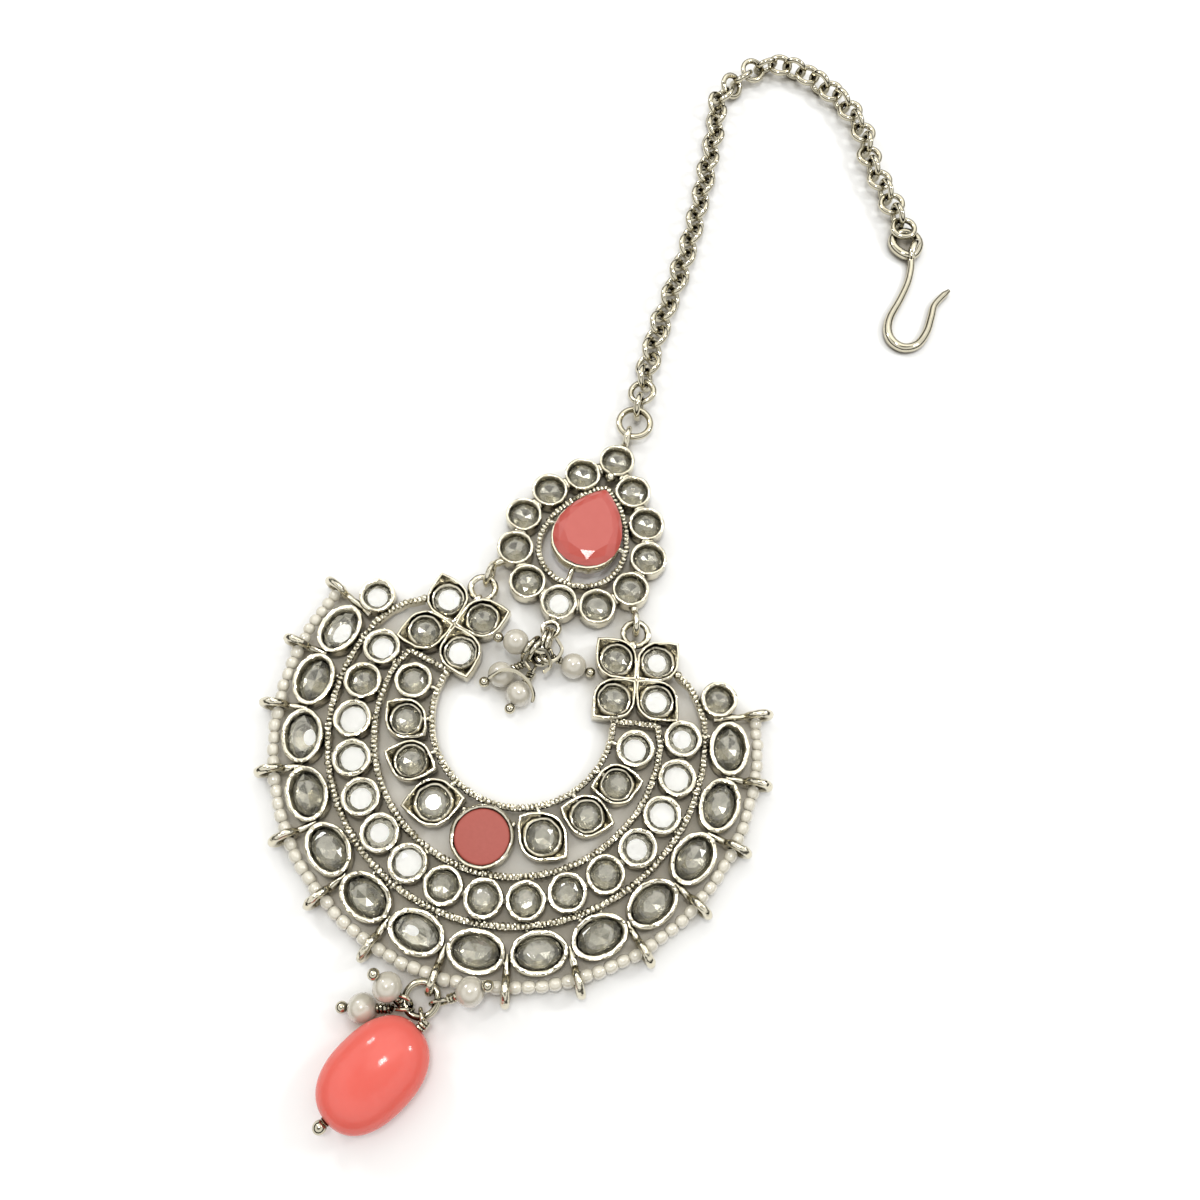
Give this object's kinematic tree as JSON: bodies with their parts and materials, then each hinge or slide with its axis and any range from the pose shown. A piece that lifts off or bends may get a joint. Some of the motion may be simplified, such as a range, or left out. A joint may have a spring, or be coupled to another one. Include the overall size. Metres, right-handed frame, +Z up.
{
  "type": "maang tikka",
  "caption": "Silver-toned maang tikka with a pierced crescent of clear stones, a coral pear top piece, pearls, a coral drop, a chain and a hair hook.",
  "frame": {"origin": "on the surface it lies on, under the middle of its bounding box", "axes": "+Y from the crescent towards the chain, +Z up from the surface, +X to the right seen from above"},
  "size_m": [0.0908, 0.2124, 0.0081],
  "materials": {
    "plated_metal": "bright silver plating, slightly warm",
    "coral_stone": "opaque coral resin, cut and polished",
    "coral_drop": "glossy, slightly translucent coral",
    "clear_stone": "clear cut stone over a bright back",
    "pearl": "satin pearl coating",
    "seed_bead": "pearly translucent glass"
  },
  "bodies": {
    "root": {"crescent_frame": "plated_metal", "teardrop_frame": "plated_metal", "coral_pear_stone": "coral_stone", "coral_round_stone": "coral_stone", "oval_stone_1": "clear_stone", "oval_stone_2": "clear_stone", "oval_stone_3": "clear_stone", "oval_stone_4": "clear_stone", "oval_stone_5": "clear_stone", "oval_stone_6": "clear_stone", "oval_stone_7": "clear_stone", "oval_stone_8": "clear_stone", "oval_stone_9": "clear_stone", "oval_stone_10": "clear_stone", "oval_stone_11": "clear_stone", "oval_stone_12": "clear_stone", "oval_stone_13": "clear_stone", "oval_stone_14": "clear_stone", "seed_bead_string": "seed_bead", "top_jump_ring": "plated_metal", "chain": "plated_metal", "hair_hook": "plated_metal", "centre_jump_ring": "plated_metal", "centre_pearl_1": "pearl", "centre_pin_1": "plated_metal", "centre_pearl_2": "pearl", "centre_pin_2": "plated_metal", "centre_pearl_3": "pearl", "centre_pin_3": "plated_metal", "centre_pearl_4": "pearl", "centre_pin_4": "plated_metal", "drop_jump_ring": "plated_metal", "drop_pearl_1": "pearl", "drop_pin_1": "plated_metal", "drop_pearl_2": "pearl", "drop_pin_2": "plated_metal", "drop_pearl_3": "pearl", "drop_pin_3": "plated_metal", "coral_drop": "coral_drop", "coral_drop_pin": "plated_metal"}
  },
  "joints": []
}
